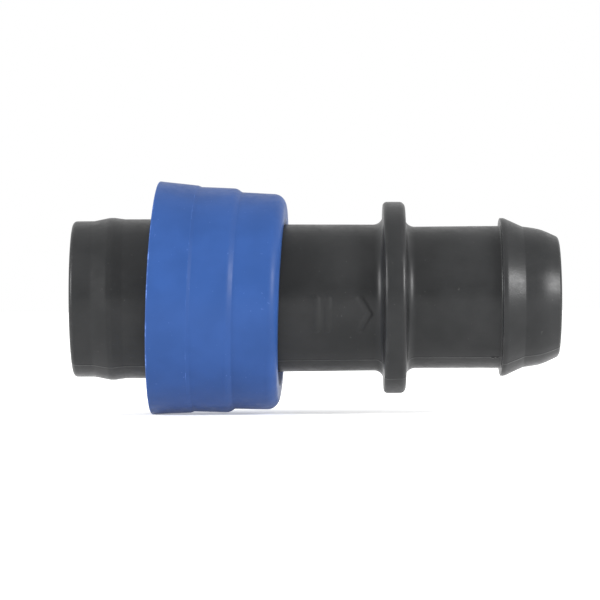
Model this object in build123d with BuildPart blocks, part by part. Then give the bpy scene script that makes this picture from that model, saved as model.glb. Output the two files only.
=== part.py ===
from build123d import *
import math
import os

# Coupling between a 16 mm drip tape and a 16 mm polyethylene pipe.
# The X axis is the flow axis: tape end towards -X, barbed pipe end towards +X.
# The origin is on the axis, on the face of the flange that the pipe butts against.
# Two mouldings: the one-piece body, and the lock nut that rides loose on its barrel.
# All lengths are in millimetres, angles in degrees, and every radius is from the axis.

# ---- body: stations along X ----
tape_end_x = -33.1
pilot_end_x = -31.0
bead_front_x = -29.45
bead_back_x = -28.95
land_start_x = -27.9
land_end_x = -25.3
barrel_start_x = -24.85
flange_width = 2.2
neck_length = 9.45
barb_land = 0.4
steep_cone_end_x = 11.7
shallow_cone_end_x = 13.5
barb_end_x = 15.3

# ---- body: outside radii ----
pilot_r = 7.79
bead_r = 8.11
land_r = 7.96
barrel_start_r = 7.46
barrel_end_r = 7.3
flange_r = 9.57
neck_r = 7.08
barb_root_r = 7.11
barb_r = 7.9
steep_cone_end_r = 7.04
shallow_cone_end_r = 6.79
nose_r = 5.95

# ---- body: waterway ----
tape_bore_r = 6.15
pipe_bore_r = 5.35
bore_step_start_x = -3.0
bore_step_end_x = -1.0
tape_bore_chamfer = 0.4
pipe_bore_chamfer = 0.2

# ---- body: raised flow marks on the barrel ----
mark_height = 0.1
mark_stroke = 0.55
mark_half_reach = 1.5
mark_drop = 1.6
mark_root_r = 6.4
bar_positions = (-8.85, -7.75)
chevron_tip_x = -3.7
chevron_depth = 0.9

# ---- lock nut: stations from its mouth, and outside radii ----
nut_length = 12.71
mouth_r = 11.68
grip_band_end = 3.9
grip_band_end_r = 11.38
middle_band_start = 4.25
middle_band_start_r = 11.24
middle_band_end = 7.75
middle_band_end_r = 11.21
rear_band_start = 8.3
rear_band_start_r = 10.84
rear_r = 10.75
rear_corner_round = 1.2

# ---- lock nut: inside ----
funnel_r = 10.45
funnel_depth = 1.3
thread_major_r = 9.3
thread_minor_r = 8.5
thread_height = thread_major_r - thread_minor_r
thread_pitch = 2.8
thread_root_width = 1.5
thread_crest_width = 0.6
thread_start = 0.9
thread_end = 10.3
thread_lead_in = 1.1
thread_root_overlap = 0.25
lip_r = 7.98
lip_chamfer = 0.4
lip_start = 10.96
lip_back_slope = 0.7

# ---- lock nut: where it hangs on the barrel, and how it leans ----
nut_mouth_x = -24.9
nut_mouth_y = 0.33
nut_mouth_z = 0.09
nut_lean = 2.25
nut_yaw = 2.3

# The nut's own plane: x along the nut's axis from mouth to rear, y outwards and up.
lean_slope = math.tan(math.radians(nut_lean))
yaw_slope = math.tan(math.radians(nut_yaw))
nut_plane = Plane(
    origin=(nut_mouth_x, nut_mouth_y, nut_mouth_z),
    x_dir=(1, -yaw_slope, -lean_slope),
    z_dir=(-yaw_slope, -1, 0),
)
nut_axis = Axis(nut_plane.origin, nut_plane.x_dir)

# Each outline corner is (station, radius, corner round).
body_corners = [
    (tape_end_x, pilot_r, 0.4),
    (pilot_end_x, pilot_r, 1.5),
    (bead_front_x, bead_r, 0.9),
    (bead_back_x, bead_r, 0.9),
    (land_start_x, land_r, 1.2),
    (land_end_x, land_r, 0.12),
    (barrel_start_x, barrel_start_r, 0.3),
    (-flange_width, barrel_end_r, 0.95),
    (-flange_width, flange_r, 0.4),
    (0, flange_r, 0.55),
    (0, neck_r, 0.95),
    (neck_length, barb_root_r, 0.2),
    (neck_length, barb_r, 0.06),
    (neck_length + barb_land, barb_r, 0.8),
    (steep_cone_end_x, steep_cone_end_r, 0.5),
    (shallow_cone_end_x, shallow_cone_end_r, 5.0),
    (barb_end_x, nose_r, 0.45),
    (barb_end_x, pipe_bore_r + pipe_bore_chamfer, 0),
    (barb_end_x - pipe_bore_chamfer, pipe_bore_r, 0),
    (bore_step_end_x, pipe_bore_r, 0.8),
    (bore_step_start_x, tape_bore_r, 0.8),
    (tape_end_x + tape_bore_chamfer, tape_bore_r, 0),
    (tape_end_x, tape_bore_r + tape_bore_chamfer, 0),
]

nut_corners = [
    (0, mouth_r, 0.12),
    (grip_band_end, grip_band_end_r, 0.12),
    (middle_band_start, middle_band_start_r, 0.2),
    (middle_band_end, middle_band_end_r, 0.9),
    (rear_band_start, rear_band_start_r, 0.3),
    (nut_length, rear_r, rear_corner_round),
    (nut_length, lip_r + lip_chamfer, 0),
    (nut_length - lip_chamfer, lip_r, 0),
    (lip_start, lip_r, 0.15),
    (lip_start - lip_back_slope, thread_major_r, 0.3),
    (funnel_depth, thread_major_r, 0.3),
    (0, funnel_r, 0.12),
]


def rounded_outline(corners):
    """A closed outline through the corners, each with its own round."""
    points = [(station, radius) for station, radius, _ in corners]
    rounds = [corner_round for _, _, corner_round in corners]
    return FilletPolyline(*points, radius=rounds, close=True)


# ---- raised flow marks: two bars and a chevron, wrapped onto the barrel's near side ----
with BuildPart() as flow_marks:
    with BuildSketch(Plane.XZ.offset(mark_root_r)):
        for bar_x in bar_positions:
            SlotCenterPoint((bar_x, -mark_drop), (bar_x, mark_half_reach - mark_drop), mark_stroke)
        for side in (-1, 1):
            arm_end = (chevron_tip_x - chevron_depth, side * mark_half_reach - mark_drop)
            arm_middle = (chevron_tip_x - chevron_depth / 2, side * mark_half_reach / 2 - mark_drop)
            SlotCenterPoint(arm_middle, arm_end, mark_stroke)
    extrude(amount=barrel_start_r)
    with BuildSketch(Plane.XZ):
        with BuildLine():
            Polyline(
                (barrel_start_x, 0),
                (barrel_start_x, barrel_start_r + mark_height),
                (-flange_width, barrel_end_r + mark_height),
                (-flange_width, 0),
                close=True,
            )
        make_face()
    revolve(axis=Axis.X, mode=Mode.INTERSECT)

# ---- fitting body: tape spigot, barrel, flange and pipe barb in one moulding ----
with BuildPart() as fitting_body:
    with BuildSketch(Plane.XZ):
        with BuildLine():
            rounded_outline(body_corners)
        make_face()
    revolve(axis=Axis.X)
    add(flow_marks.part)

# ---- grip thread: one ridge wound inside the nut, fading out at both ends ----
thread_start_centre = nut_plane.from_local_coords((thread_start, 0, 0))
thread_helix_r = thread_major_r + thread_root_overlap
with BuildPart() as grip_thread:
    with BuildLine() as thread_path:
        Helix(
            thread_pitch,
            thread_end - thread_start,
            thread_helix_r,
            center=thread_start_centre,
            direction=nut_plane.x_dir,
        )
    thread_begin = thread_path.line @ 0
    with BuildSketch(
        Plane(
            origin=thread_begin,
            x_dir=thread_begin - thread_start_centre,
            z_dir=thread_path.line % 0,
        )
    ):
        with BuildLine():
            Polyline(
                (0, -thread_root_width / 2),
                (0, thread_root_width / 2),
                (-thread_height - thread_root_overlap, thread_crest_width / 2),
                (-thread_height - thread_root_overlap, -thread_crest_width / 2),
                close=True,
            )
        make_face()
    sweep(path=thread_path.line, is_frenet=True)
    with BuildSketch(nut_plane):
        with BuildLine():
            Polyline(
                (thread_start - thread_root_width / 2, thread_helix_r),
                (thread_start - thread_root_width / 2, thread_major_r),
                (thread_start + thread_lead_in, thread_minor_r),
                (thread_end - thread_lead_in, thread_minor_r),
                (thread_end, thread_major_r),
                (thread_end, thread_helix_r),
                close=True,
            )
        make_face()
    revolve(axis=nut_axis, mode=Mode.INTERSECT)

# ---- lock nut: stepped sleeve with a funnel mouth, the grip thread and a rear lip ----
with BuildPart() as lock_nut:
    with BuildSketch(nut_plane):
        with BuildLine():
            rounded_outline(nut_corners)
        make_face()
    revolve(axis=nut_axis)
    add(grip_thread.part)

fitting_body.part.label = "fitting_body"
lock_nut.part.label = "lock_nut"

os.makedirs("parts", exist_ok=True)
export_step(fitting_body.part, "parts/fitting_body.step")
export_step(lock_nut.part, "parts/lock_nut.step")
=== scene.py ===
import cmath
import math

import bpy
import numpy as np
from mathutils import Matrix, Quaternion, Vector


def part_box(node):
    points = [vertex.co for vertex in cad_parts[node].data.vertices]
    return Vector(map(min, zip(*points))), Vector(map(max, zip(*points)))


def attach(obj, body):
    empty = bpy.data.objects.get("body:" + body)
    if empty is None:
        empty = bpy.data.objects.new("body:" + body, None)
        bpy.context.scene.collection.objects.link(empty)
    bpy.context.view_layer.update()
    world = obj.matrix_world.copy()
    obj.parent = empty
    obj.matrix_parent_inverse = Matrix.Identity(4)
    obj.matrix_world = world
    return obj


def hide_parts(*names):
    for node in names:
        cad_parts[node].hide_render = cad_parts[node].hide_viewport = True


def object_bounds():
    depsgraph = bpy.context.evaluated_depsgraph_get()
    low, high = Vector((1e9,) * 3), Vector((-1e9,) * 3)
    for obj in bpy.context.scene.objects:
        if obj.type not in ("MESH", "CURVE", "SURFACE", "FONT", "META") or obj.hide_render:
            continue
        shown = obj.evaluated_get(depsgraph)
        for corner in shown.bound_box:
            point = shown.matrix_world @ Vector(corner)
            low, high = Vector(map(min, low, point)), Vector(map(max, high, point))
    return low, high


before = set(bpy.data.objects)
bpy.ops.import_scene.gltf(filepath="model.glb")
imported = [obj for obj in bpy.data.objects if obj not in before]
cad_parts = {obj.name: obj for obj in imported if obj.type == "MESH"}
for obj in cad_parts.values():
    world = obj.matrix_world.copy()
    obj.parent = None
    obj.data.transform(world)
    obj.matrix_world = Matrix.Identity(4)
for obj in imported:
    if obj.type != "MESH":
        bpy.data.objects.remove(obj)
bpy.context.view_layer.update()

# A coupling between a drip tape and a pipe: a black body and a loose blue lock nut.
# Outlines are in millimetres and turned into metres when a mesh is made.
# X is the flow axis. An angle of 0 round the axis is the near side (-Y), and 90 is the top (+Z).
MM = 0.001

body_low, body_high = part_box("fitting_body")
tape_end_x = body_low.x / MM
barb_end_x = body_high.x / MM
flange_r = body_high.z / MM

# ---- body: stations from the flange's pipe side, and radii ----
pilot_end_x = -31.0
bead_front_x = -29.45
bead_back_x = -28.95
land_start_x = -27.9
land_end_x = -25.3
barrel_start_x = -24.85
flange_width = 2.2
neck_length = 9.45
barb_land = 0.4
steep_cone_end_x = 11.7
shallow_cone_end_x = 13.5
pilot_r = 7.79
bead_r = 8.11
land_r = 7.96
barrel_start_r = 7.46
barrel_end_r = 7.3
neck_r = 7.08
barb_root_r = 7.11
barb_r = 7.9
steep_cone_end_r = 7.04
shallow_cone_end_r = 6.79
nose_r = 5.95
tape_bore_r = 6.15
pipe_bore_r = 5.35
bore_step_start_x = -3.0
bore_step_end_x = -1.0
tape_bore_chamfer = 0.4
pipe_bore_chamfer = 0.2
root_round = 0.95
bore_step_round = 0.8

# ---- body: parting line, with its flash and the step between the mould halves ----
parting_angle = -57.0
flash_height = 0.035
flash_width = 0.11
flash_mean = 0.6
flash_sway = 0.4
flash_slow_wave = 0.21
flash_quick_waves = ((0.47, 0, 1.0), (0.9, 0, 2.0))
mould_mismatch = 0.02
mismatch_edge = 0.06
mismatch_fade_start = 0.5
mismatch_fade_end = 2.5

# ---- body: nibs by the barb (station, height, radius), and the torn gate on the flange's rim ----
nibs = ((8.55, 0.09, 0.16), (9.0, 0.06, 0.12))
gate_x = -1.15
gate_r = 0.55
gate_height = 0.12
gate_raggedness = 0.3

# ---- body: raised flow marks on the barrel ----
mark_height = 0.1
mark_stroke = 0.55
mark_edge = 0.36
mark_half_reach = 1.5
mark_drop = 1.6
bar_positions = (-8.85, -7.75)
chevron_tip_x = -3.7
chevron_depth = 0.9

# ---- lock nut: stations from its mouth, and radii from its own axis ----
nut_length = 12.71
mouth_r = 11.68
grip_band_end = 3.9
grip_band_end_r = 11.38
middle_band_start = 4.25
middle_band_start_r = 11.24
middle_band_end = 7.75
middle_band_end_r = 11.21
rear_band_start = 8.3
rear_band_start_r = 10.84
rear_r = 10.75
rear_corner_round = 1.2
band_round = 0.3
funnel_r = 10.45
funnel_depth = 1.3
thread_major_r = 9.3
thread_minor_r = 8.5
thread_pitch = 2.8
thread_root_width = 1.5
thread_crest_width = 0.6
thread_phase = 2.294
thread_start = 0.9
thread_end = 10.3
thread_run_in = 0.6
thread_lead_in = 1.1
lip_r = 7.98
lip_chamfer = 0.4
lip_start = 10.96
lip_back_slope = 0.7

# ---- lock nut: gate dimple on the rear face ----
nut_gate_angle = 38.0
nut_gate_from_axis = 9.15
nut_gate_r = 0.42
nut_gate_depth = 0.14

# ---- lock nut: where its mouth is, and how its axis leans ----
nut_mouth = Vector((-24.9, 0.33, 0.09))
nut_lean = 2.25
nut_yaw = 2.3
lean_slope = math.tan(math.radians(nut_lean))
yaw_slope = math.tan(math.radians(nut_yaw))
nut_along = Vector((1, -yaw_slope, -lean_slope)).normalized()
nut_near = Vector((-yaw_slope, -1, 0)).normalized()
nut_up = nut_near.cross(nut_along)

# ---- relief: where a normal faces outwards, inwards or to the rear, and how a spot fades ----
outside_from = 0.2
outside_full = 0.6
facing_in = -0.5
facing_rear = 0.95
spot_core = 0.7
spot_rim = 1.2

# ---- uneven surfaces: height, and waves as (per millimetre, per turn, offset) ----
body_unevenness = 0.008
body_waves = ((0.05, 2, 0.3), (0.11, -3, 1.9), (0.07, 5, 4.0), (0.23, 1, 2.2))
nut_unevenness = 0.012
nut_waves = ((0.06, 3, 0.3), (0.13, -2, 1.1), (0.09, 4, 3.0), (0.3, 1, 2.0))
gate_waves = ((1.3, 40, 0.0), (0.9, -70, 1.0))

# ---- how finely the meshes are cut: degrees on rounds, millimetres along the outlines ----
arc_step = 8.0
arc_margin = 0.06
shortest_row = 0.03
bore_row = 1.6
body_row = 0.38
detail_row = 0.1
detail_margin = 0.5
nib_margin = 0.4
nut_row = 0.3
thread_row = 0.085
rear_face_row = 0.08

# ---- how near a point has to be to a surface to count as on it, in millimetres ----
touching = 0.05

# ---- columns round each piece, and closer windows as (half width in degrees, density) ----
body_columns = 160
marks_density = 3.2
seam_window = (2.5, 7.0)
gate_seam_window = (4.5, 7.0)
nut_columns = 256
nut_gate_window = (4.0, 3.0)
window_fade = 1.25
angle_samples = 20001

# ---- curvature of the outline, per millimetre, at which an edge starts and finishes its rubbed wear and painted highlight ----
wear_and_highlight_start = 0.8
wear_and_highlight_full = 6.0

# Each outline corner is (station, radius, corner round).
body_corners = [
    (tape_end_x, pilot_r, 0.4),
    (pilot_end_x, pilot_r, 1.5),
    (bead_front_x, bead_r, 0.9),
    (bead_back_x, bead_r, 0.9),
    (land_start_x, land_r, 1.2),
    (land_end_x, land_r, 0.12),
    (barrel_start_x, barrel_start_r, 0.3),
    (-flange_width, barrel_end_r, root_round),
    (-flange_width, flange_r, 0.4),
    (0, flange_r, 0.55),
    (0, neck_r, root_round),
    (neck_length, barb_root_r, 0.2),
    (neck_length, barb_r, 0.06),
    (neck_length + barb_land, barb_r, 0.8),
    (steep_cone_end_x, steep_cone_end_r, 0.5),
    (shallow_cone_end_x, shallow_cone_end_r, 5.0),
    (barb_end_x, nose_r, 0.45),
    (barb_end_x, pipe_bore_r + pipe_bore_chamfer, 0.05),
    (barb_end_x - pipe_bore_chamfer, pipe_bore_r, 0.05),
    (bore_step_end_x, pipe_bore_r, bore_step_round),
    (bore_step_start_x, tape_bore_r, bore_step_round),
    (tape_end_x + tape_bore_chamfer, tape_bore_r, 0.1),
    (tape_end_x, tape_bore_r + tape_bore_chamfer, 0.1),
]

nut_corners = [
    (0, mouth_r, 0.12),
    (grip_band_end, grip_band_end_r, 0.12),
    (middle_band_start, middle_band_start_r, 0.2),
    (middle_band_end, middle_band_end_r, 0.9),
    (rear_band_start, rear_band_start_r, band_round),
    (nut_length, rear_r, rear_corner_round),
    (nut_length, lip_r + lip_chamfer, 0.06),
    (nut_length - lip_chamfer, lip_r, 0.06),
    (lip_start, lip_r, 0.15),
    (lip_start - lip_back_slope, thread_major_r, band_round),
    (funnel_depth, thread_major_r, band_round),
    (0, funnel_r, 0.12),
]


# ---- outlines: an outline point is a complex number, station + radius * 1j ----
def corner_arc(before, corner, after, corner_round):
    """Points along the round of one corner, from the leg before it to the leg after it."""
    to_before = (before - corner) / abs(before - corner)
    to_after = (after - corner) / abs(after - corner)
    half_angle = abs(cmath.phase(to_before / to_after)) / 2
    to_centre = (to_before + to_after) / abs(to_before + to_after)
    centre = corner + to_centre * corner_round / math.sin(half_angle)
    tangent_length = corner_round / math.tan(half_angle)
    start = corner + to_before * tangent_length - centre
    end = corner + to_after * tangent_length - centre
    turn = cmath.phase(end / start)
    steps = max(2, math.ceil(abs(turn) / math.radians(arc_step)))
    return [centre + start * cmath.exp(1j * turn * step / steps) for step in range(steps + 1)]


def outline(corners, spacing):
    """A closed outline as rows of (station, radius), its legs cut as finely as spacing asks."""
    sharp = [complex(station, radius) for station, radius, _ in corners]
    count = len(corners)
    arcs = []
    for i, (_, _, corner_round) in enumerate(corners):
        arcs.append(corner_arc(sharp[i - 1], sharp[i], sharp[(i + 1) % count], corner_round))
    points = []
    for arc, next_arc in zip(arcs, arcs[1:] + arcs[:1]):
        points += arc
        leg = next_arc[0] - arc[-1]
        travelled = arc_margin
        while travelled < abs(leg) - arc_margin - shortest_row:
            points.append(arc[-1] + leg * travelled / abs(leg))
            travelled += spacing(points[-1])
        if abs(leg) > arc_margin * 2:
            points.append(next_arc[0] - leg * arc_margin / abs(leg))
    return np.column_stack([np.real(points), np.imag(points)])


def outline_normals(points):
    """Unit normals of a closed outline, pointing out of the material."""
    along = np.roll(points, -1, axis=0) - np.roll(points, 1, axis=0)
    along /= np.linalg.norm(along, axis=1)[:, None]
    return np.column_stack([-along[:, 1], along[:, 0]])


def angles_with_detail(base_count, windows):
    """Angles round the axis in degrees, closer in each window of (centre, half width, density)."""
    fine = np.linspace(-180, 180, angle_samples)
    density = np.ones_like(fine)
    for centre, half_width, window_density in windows:
        away = np.abs((fine - centre + 180) % 360 - 180)
        inside = 1 - smooth(half_width, half_width * window_fade, away)
        density += (window_density - 1) * inside
    total = np.concatenate([[0], np.cumsum((density[1:] + density[:-1]) / 2 * np.diff(fine))])
    count = round(base_count * total[-1] / 360)
    return np.interp(np.arange(count) * total[-1] / count, total, fine)


def smooth(low, high, value):
    """0 below low, 1 above high, and a smooth rise between them."""
    share = np.clip((value - low) / (high - low), 0, 1)
    return share * share * (3 - 2 * share)


def ripple(station, angle, waves):
    """A sum of slow waves (per millimetre, per turn, offset), between about -1 and 1."""
    total = np.zeros(np.broadcast(station, angle).shape)
    for per_mm, per_turn, offset in waves:
        total += np.sin(2 * math.pi * per_mm * station + per_turn * np.radians(angle) + offset)
    return total / len(waves)


def worn_and_highlit_edges(points):
    """How exposed each outline point is, for rubbed wear and a painted highlight: 1 on tight
    outside corners, 0 on flats and in hollows.
    """
    along = np.roll(points, -1, axis=0) - points
    heading = np.unwrap(np.arctan2(along[:, 1], along[:, 0]))
    turned = (np.diff(heading, prepend=heading[-1]) + math.pi) % (2 * math.pi) - math.pi
    leg_length = np.linalg.norm(along, axis=1)
    length = (leg_length + np.roll(leg_length, 1)) / 2
    return smooth(wear_and_highlight_start, wear_and_highlight_full, -turned / length)


def turned_mesh(name, points, angles, raise_by, place):
    """A closed mesh: an outline turned round the axis, with its surface raised by a height."""
    rows, columns = len(points), len(angles)
    normals = outline_normals(points)
    height = raise_by(points[:, None, 0], points[:, None, 1], angles[None, :], normals[:, None, :])
    station = points[:, None, 0] + normals[:, None, 0] * height
    radius = points[:, None, 1] + normals[:, None, 1] * height
    turn = np.radians(angles)[None, :]
    local = np.stack([station + 0 * turn, radius * np.cos(turn), radius * np.sin(turn)], axis=-1)
    vertices = place(local.reshape(-1, 3)) * MM

    row = np.arange(rows)[:, None]
    column = np.arange(columns)[None, :]
    next_row, next_column = (row + 1) % rows, (column + 1) % columns
    faces = np.stack(
        [
            row * columns + column,
            row * columns + next_column,
            next_row * columns + next_column,
            next_row * columns + column,
        ],
        axis=-1,
    ).reshape(-1, 4)

    mesh = bpy.data.meshes.new(name)
    mesh.vertices.add(len(vertices))
    mesh.vertices.foreach_set("co", vertices.astype(np.float32).ravel())
    mesh.loops.add(faces.size)
    mesh.loops.foreach_set("vertex_index", faces.astype(np.int32).ravel())
    mesh.polygons.add(len(faces))
    mesh.polygons.foreach_set("loop_start", np.arange(0, faces.size, 4, dtype=np.int32))
    mesh.polygons.foreach_set("use_smooth", np.ones(len(faces), bool))
    mesh.update(calc_edges=True)
    mesh.validate()

    # edge_wear_and_highlight: lighter edges in the material, partly rubbed wear and partly a
    # painted highlight along the rims
    wear_and_highlight_layer = mesh.attributes.new("edge_wear_and_highlight", "FLOAT", "POINT")
    values = np.broadcast_to(worn_and_highlit_edges(points)[:, None], (rows, columns))
    wear_and_highlight_layer.data.foreach_set("value", values.astype(np.float32).ravel())
    piece = bpy.data.objects.new(name, mesh)
    bpy.context.scene.collection.objects.link(piece)
    return piece


# ---- relief: how far each point of a piece's surface is raised, in millimetres ----
def round_from(line_angle, angle, radius):
    """Millimetres round the surface from a line along the piece at one angle."""
    return np.radians((angle - line_angle + 180) % 360 - 180) * radius


def on_outside(normal):
    """1 where the surface faces away from the axis, and 0 on the end faces and inside."""
    return smooth(outside_from, outside_full, normal[..., 1])


def spot(along, across, size):
    """A round spot: 1 in its middle, and fading to 0 at its rim."""
    return 1 - smooth(size * spot_core, size * spot_rim, np.hypot(along, across))


def stroke(station, up, start, end):
    """A straight stroke on the barrel, seen from the front: 1 along its middle, with soft edges."""
    leg = np.array(end) - np.array(start)
    share = np.clip(((station - start[0]) * leg[0] + (up - start[1]) * leg[1]) / (leg @ leg), 0, 1)
    distance = np.hypot(station - start[0] - share * leg[0], up - start[1] - share * leg[1])
    return 1 - smooth((mark_stroke - mark_edge) / 2, (mark_stroke + mark_edge) / 2, distance)


def flow_marks(station, radius, angle):
    """Two bars and a chevron on the barrel's near side."""
    up = radius * np.sin(np.radians(angle))
    strokes = []
    for bar_x in bar_positions:
        bar_top = (bar_x, mark_half_reach - mark_drop)
        bar_bottom = (bar_x, -mark_half_reach - mark_drop)
        strokes.append((bar_top, bar_bottom))
    for side in (-1, 1):
        arm_end = (chevron_tip_x - chevron_depth, side * mark_half_reach - mark_drop)
        strokes.append(((chevron_tip_x, -mark_drop), arm_end))
    raised = np.max([stroke(station, up, start, end) for start, end in strokes], axis=0)
    return mark_height * raised * (np.abs(angle) < 90)


def parting_line(station, radius, angle, seam, higher_side):
    """An uneven ridge of flash along a seam, and a faint step between the two mould halves."""
    off_seam = round_from(seam, angle, radius)
    sway = ripple(station, 0 * angle, ((flash_slow_wave, 0, seam), *flash_quick_waves))
    ridge = np.exp(-((off_seam / flash_width) ** 2))
    flash = flash_height * (flash_mean + flash_sway * sway) * ridge
    step = smooth(-mismatch_edge, mismatch_edge, off_seam * higher_side) - 0.5
    fade = 1 - smooth(mismatch_fade_start, mismatch_fade_end, np.abs(off_seam))
    return flash + mould_mismatch * step * fade


def body_relief(station, radius, angle, normal):
    """Flow marks, parting lines, nibs, the torn gate and a slightly uneven outside."""
    outside = on_outside(normal)
    on_barrel = (station > barrel_start_x) & (station < -flange_width - root_round)
    relief = flow_marks(station, radius, angle) * on_barrel * outside
    for seam, higher_side in ((parting_angle, 1), (parting_angle + 180, -1)):
        relief = relief + parting_line(station, radius, angle, seam, higher_side) * outside

    near_seam = round_from(parting_angle, angle, radius)
    for nib_x, nib_height, nib_r in nibs:
        relief = relief + nib_height * spot(station - nib_x, near_seam, nib_r) * outside
    gate = spot(station - gate_x, round_from(parting_angle + 180, angle, radius), gate_r)
    torn = 1 + gate_raggedness * ripple(station, angle, gate_waves)
    relief = relief + gate_height * gate * torn * (radius > flange_r - touching)
    return relief + body_unevenness * (ripple(station, angle, body_waves) - 1) * outside


def nut_relief(station, radius, angle, normal):
    """The right-handed grip thread inside, the gate dimple and a slightly uneven outside."""
    begin = thread_start - thread_root_width / 2
    inside = (normal[..., 1] < facing_in) & (station > begin) & (station < thread_end)
    along = station - thread_phase + thread_pitch * angle / 360
    off_crest = np.abs((along + thread_pitch / 2) % thread_pitch - thread_pitch / 2)
    ridge = 1 - smooth(thread_crest_width / 2, thread_root_width / 2, off_crest)
    lead_in = smooth(thread_start - thread_run_in, thread_start + thread_lead_in, station)
    lead_out = 1 - smooth(thread_end - thread_lead_in, thread_end, station)
    crest_height = np.minimum(thread_major_r - thread_minor_r, radius - thread_minor_r)
    relief = crest_height * ridge * lead_in * lead_out * inside

    off_gate = round_from(nut_gate_angle, angle, radius)
    dimple = spot(radius - nut_gate_from_axis, off_gate, nut_gate_r)
    on_rear_face = normal[..., 0] > facing_rear
    relief = relief - nut_gate_depth * dimple * on_rear_face
    return relief + nut_unevenness * (ripple(station, angle, nut_waves) - 1) * on_outside(normal)


def body_spacing(point):
    """Row spacing along the body's outline: fine under the relief, coarse in the waterway."""
    station, radius = point.real, point.imag
    if radius < tape_bore_r + touching:
        return bore_row
    by_marks = bar_positions[0] - detail_margin < station < chevron_tip_x + detail_margin
    by_nibs = nibs[0][0] - nib_margin < station < neck_length
    if by_marks or by_nibs or radius > flange_r - touching:
        return detail_row
    return body_row


def nut_spacing(point):
    """Row spacing along the nut's outline: fine over the grip thread and on the rear face."""
    station, radius = point.real, point.imag
    if radius < thread_major_r + touching and station < thread_end:
        return thread_row
    if station > nut_length - touching:
        return rear_face_row
    return nut_row


def place_body(local):
    """Body points, given as (station, near side, up), in the object's frame."""
    return local * np.array([1, -1, 1])


def place_nut(local):
    """Nut points, given as (station, near side, up) along its own axis, in the object's frame."""
    axes = np.array([nut_along, nut_near, nut_up])
    return np.array(nut_mouth) + local @ axes


mark_low = math.degrees(math.asin((-mark_half_reach - mark_drop - mark_stroke) / barrel_end_r))
mark_high = math.degrees(math.asin((mark_half_reach - mark_drop + mark_stroke) / barrel_end_r))
body_windows = [
    ((mark_low + mark_high) / 2, (mark_high - mark_low) / 2, marks_density),
    (parting_angle, *seam_window),
    (parting_angle + 180, *gate_seam_window),
]
body_piece = turned_mesh(
    "fitting_body_moulding",
    outline(body_corners, body_spacing),
    angles_with_detail(body_columns, body_windows),
    body_relief,
    place_body,
)
nut_piece = turned_mesh(
    "lock_nut_moulding",
    outline(nut_corners, nut_spacing),
    angles_with_detail(nut_columns, [(nut_gate_angle, *nut_gate_window)]),
    nut_relief,
    place_nut,
)


# ---- materials: noise scales and stretches are per metre, and depths are in metres ----
long_scratch_stretch = (300, 9000, 9000)
long_scratch_turn = (0.3, 0.2, 0.5)
cross_scratch_stretch = (9000, 350, 9000)
cross_scratch_turn = (0.6, 0.1, -0.4)
scratch_depth = 0.00001
scratch_strength = 0.5
scratch_roughness = 0.12
streak_stretch = (220, 2600, 2600)
streak_depth = 0.00003
streak_strength = 0.6
uneven_depth = 0.00006
grain_depth = 0.00002
gloss_drop = 0.05
gloss_rise = 0.07
least_wear_and_highlight = 0.04
most_wear_and_highlight = 0.7


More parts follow.
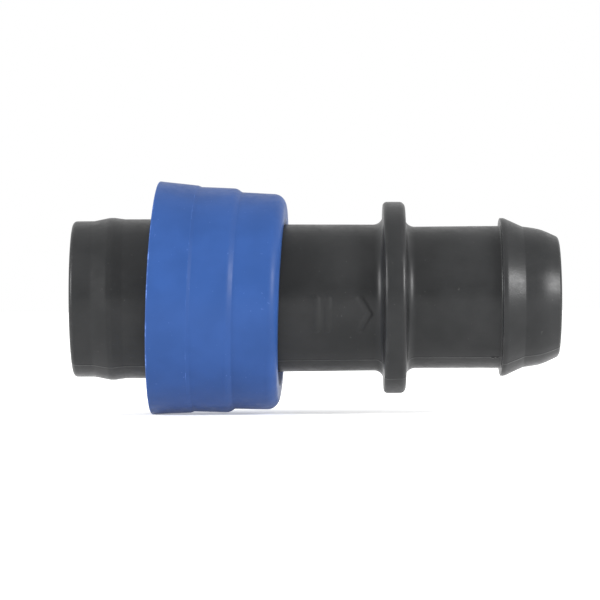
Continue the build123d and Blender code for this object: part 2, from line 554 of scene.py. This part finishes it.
def moulded_plastic(name, colour, shade, worn_and_highlight, dust, specular, roughness, grain_strength):
    """Semi-matte plastic: mottled, grainy, streaked, scratched, a little dusty, with lighter edges
    that are partly rubbed wear and partly a painted highlight.
    """
    material = bpy.data.materials.new(name)
    material.use_nodes = True
    nodes, links = material.node_tree.nodes, material.node_tree.links
    shader = nodes["Principled BSDF"]
    shader.inputs["Specular IOR Level"].default_value = specular
    place = nodes.new("ShaderNodeTexCoord").outputs["Object"]

    def noise(scale, detail, stretch=(1, 1, 1), turn=(0, 0, 0), rough=0.5):
        mapping = nodes.new("ShaderNodeMapping")
        mapping.inputs["Scale"].default_value = stretch
        mapping.inputs["Rotation"].default_value = turn
        links.new(place, mapping.inputs["Vector"])
        texture = nodes.new("ShaderNodeTexNoise")
        texture.inputs["Scale"].default_value = scale
        texture.inputs["Detail"].default_value = detail
        texture.inputs["Roughness"].default_value = rough
        links.new(mapping.outputs["Vector"], texture.inputs["Vector"])
        return texture.outputs["Fac"]

    def remap(value, low, high, to_low=0, to_high=1):
        node = nodes.new("ShaderNodeMapRange")
        node.interpolation_type = "SMOOTHSTEP"
        node.inputs["From Min"].default_value = low
        node.inputs["From Max"].default_value = high
        node.inputs["To Min"].default_value = to_low
        node.inputs["To Max"].default_value = to_high
        links.new(value, node.inputs["Value"])
        return node.outputs["Result"]

    def combine(operation, first, second):
        node = nodes.new("ShaderNodeMath")
        node.operation = operation
        links.new(first, node.inputs[0])
        links.new(second, node.inputs[1])
        return node.outputs["Value"]

    def blend(factor, first, second):
        node = nodes.new("ShaderNodeMix")
        node.data_type = "RGBA"
        links.new(factor, node.inputs["Factor"])
        for socket, value in (("A", first), ("B", second)):
            if isinstance(value, tuple):
                node.inputs[socket].default_value = (*value, 1)
            else:
                links.new(value, node.inputs[socket])
        return node.outputs["Result"]

    def bump(height, strength, distance, under=None):
        node = nodes.new("ShaderNodeBump")
        node.inputs["Strength"].default_value = strength
        node.inputs["Distance"].default_value = distance
        links.new(height, node.inputs["Height"])
        if under:
            links.new(under, node.inputs["Normal"])
        return node.outputs["Normal"]

    mottle = noise(scale=260, detail=4)
    scuffs = noise(scale=900, detail=6, rough=0.7)
    streaks = noise(scale=1, detail=3, stretch=streak_stretch)
    long_lines = noise(scale=1, detail=2, stretch=long_scratch_stretch, turn=long_scratch_turn)
    cross_lines = noise(scale=1, detail=2, stretch=cross_scratch_stretch, turn=cross_scratch_turn)
    scratches = combine(
        "MAXIMUM",
        remap(long_lines, low=0.66, high=0.74),
        remap(cross_lines, low=0.67, high=0.75),
    )
    specks = remap(noise(scale=3200, detail=1), low=0.74, high=0.8)

    # Edge mask: lightens tight outside corners, partly rubbed wear and partly a painted highlight
    edge = nodes.new("ShaderNodeAttribute")
    edge.attribute_name = "edge_wear_and_highlight"
    patchy = remap(scuffs, low=0.48, high=0.68, to_low=least_wear_and_highlight, to_high=most_wear_and_highlight)
    rubbed_and_highlit = combine("MULTIPLY", edge.outputs["Fac"], patchy)
    pigment = blend(remap(mottle, low=0.3, high=0.7), shade, colour)
    dusty = blend(combine("MULTIPLY", specks, scuffs), pigment, dust)
    # worn: the lighter edge colour, partly rubbed wear and partly a painted highlight
    links.new(blend(rubbed_and_highlit, dusty, worn_and_highlight), shader.inputs["Base Color"])

    smoothest, roughest = roughness - gloss_drop, roughness + gloss_rise
    gloss = remap(scuffs, low=0.3, high=0.7, to_low=smoothest, to_high=roughest)
    dulled = remap(scratches, low=0, high=1, to_high=scratch_roughness)
    links.new(combine("ADD", gloss, dulled), shader.inputs["Roughness"])

    uneven = bump(noise(scale=420, detail=2), grain_strength, uneven_depth)
    streaked = bump(streaks, grain_strength * streak_strength, streak_depth, uneven)
    scratched = bump(scratches, grain_strength * scratch_strength, scratch_depth, streaked)
    grainy = bump(noise(scale=6500, detail=3), grain_strength, grain_depth, scratched)
    links.new(grainy, shader.inputs["Normal"])
    return material


black_plastic = moulded_plastic(
    "black_polypropylene",
    colour=(0.0168, 0.0172, 0.0178),
    shade=(0.0118, 0.0123, 0.0128),
    # worn: lighter edge colour, partly rubbed wear and partly a painted highlight
    worn_and_highlight=(0.07, 0.07, 0.07),
    dust=(0.045, 0.045, 0.043),
    specular=0.21,
    roughness=0.34,
    grain_strength=0.25,
)
blue_plastic = moulded_plastic(
    "blue_polypropylene",
    colour=(0.0200, 0.0568, 0.188),
    shade=(0.0170, 0.0498, 0.166),
    # worn: lighter edge colour, partly rubbed wear and partly a painted highlight on the rims
    worn_and_highlight=(0.12, 0.22, 0.55),
    dust=(0.06, 0.11, 0.28),
    specular=0.12,
    roughness=0.4,
    grain_strength=0.2,
)

for piece, node, body, slot, material in (
    (body_piece, "fitting_body", "fitting", "black_moulding", black_plastic),
    (nut_piece, "lock_nut", "nut", "blue_moulding", blue_plastic),
):
    piece.data.materials.append(material)
    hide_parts(node)
    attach(piece, body)


# ---- floor, light, room and camera: lengths in metres, powers in watts ----
floor_reach = 3.0
floor_white = 0.95
floor_roughness = 0.9
floor_specular = 0.1
floor_glow = 0.36
softbox_azimuth = 60
softbox_elevation = 17
softbox_distance = 0.4
softbox_size = 0.16
right_power = 1.85
left_power = 1.7
camera_distance = 0.33
camera_azimuth = 0.34
camera_roll = 0.286
camera_aim = Vector((-0.0105, 0, -0.000205))
view_width = 0.06
nearest_view = 0.01


def pale_floor(height):
    """A wide matt white floor that glows faintly."""
    mesh = bpy.data.meshes.new("floor")
    sides = ((-1, -1), (1, -1), (1, 1), (-1, 1))
    corners = [(floor_reach * x, floor_reach * y, height) for x, y in sides]
    mesh.from_pydata(corners, [], [(0, 1, 2, 3)])
    floor = bpy.data.objects.new("floor", mesh)
    bpy.context.scene.collection.objects.link(floor)
    material = bpy.data.materials.new("pale_floor")
    material.use_nodes = True
    shader = material.node_tree.nodes["Principled BSDF"]
    shader.inputs["Base Color"].default_value = (floor_white, floor_white, floor_white, 1)
    shader.inputs["Roughness"].default_value = floor_roughness
    shader.inputs["Specular IOR Level"].default_value = floor_specular
    shader.inputs["Emission Color"].default_value = (1, 1, 1, 1)
    shader.inputs["Emission Strength"].default_value = floor_glow
    mesh.materials.append(material)


def soft_light(name, azimuth, power, aim):
    """A square soft light round the aim point. Azimuth 0 is the near side and 90 is towards +X."""
    light = bpy.data.lights.new(name, "AREA")
    light.shape = "SQUARE"
    light.size = softbox_size
    light.energy = power
    lamp = bpy.data.objects.new(name, light)
    turn, rise = math.radians(azimuth), math.radians(softbox_elevation)
    level = math.cos(rise)
    away = Vector((math.sin(turn) * level, -math.cos(turn) * level, math.sin(rise)))
    lamp.location = aim + away * softbox_distance
    lamp.rotation_mode = "QUATERNION"
    lamp.rotation_quaternion = away.to_track_quat("Z", "Y")
    bpy.context.scene.collection.objects.link(lamp)


def white_room(dim_side, dimmest, half_width):
    """An even white room that is dimmer on one side, as a light tent is where it is left open."""
    world = bpy.data.worlds.new("white_room")
    world.use_nodes = True
    nodes, links = world.node_tree.nodes, world.node_tree.links
    background = nodes["Background"]
    background.inputs["Color"].default_value = (1, 1, 1, 1)
    direction = nodes.new("ShaderNodeTexCoord").outputs["Generated"]
    towards = nodes.new("ShaderNodeVectorMath")
    towards.operation = "DOT_PRODUCT"
    towards.inputs[1].default_value = dim_side
    links.new(direction, towards.inputs[0])
    strength = nodes.new("ShaderNodeMapRange")
    strength.interpolation_type = "SMOOTHSTEP"
    strength.inputs["From Min"].default_value = math.cos(math.radians(half_width))
    strength.inputs["To Min"].default_value = 1.0
    strength.inputs["To Max"].default_value = dimmest
    links.new(towards.outputs["Value"], strength.inputs["Value"])
    links.new(strength.outputs["Result"], background.inputs["Strength"])
    bpy.context.scene.world = world


def aimed_camera(aim):
    """A level camera on the near side, aimed at a point and rolled a little."""
    camera_data = bpy.data.cameras.new("camera")
    camera_data.angle = 2 * math.atan(view_width / 2 / camera_distance)
    camera_data.clip_start = nearest_view
    camera = bpy.data.objects.new("camera", camera_data)
    turn = math.radians(camera_azimuth)
    back = Vector((math.sin(turn), -math.cos(turn), 0))
    roll = Quaternion((0, 0, 1), -math.radians(camera_roll))
    camera.location = aim + back * camera_distance
    camera.rotation_mode = "QUATERNION"
    camera.rotation_quaternion = back.to_track_quat("Z", "Y") @ roll
    bpy.context.scene.collection.objects.link(camera)
    bpy.context.scene.camera = camera


low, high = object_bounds()
centre = (low + high) / 2
pale_floor(low.z)
soft_light("right_softbox", softbox_azimuth, right_power, centre)
soft_light("left_softbox", -softbox_azimuth, left_power, centre)
white_room(dim_side=(0, -1, 0), dimmest=0.5, half_width=38)
bpy.context.scene.view_settings.view_transform = "Standard"
aimed_camera(camera_aim)
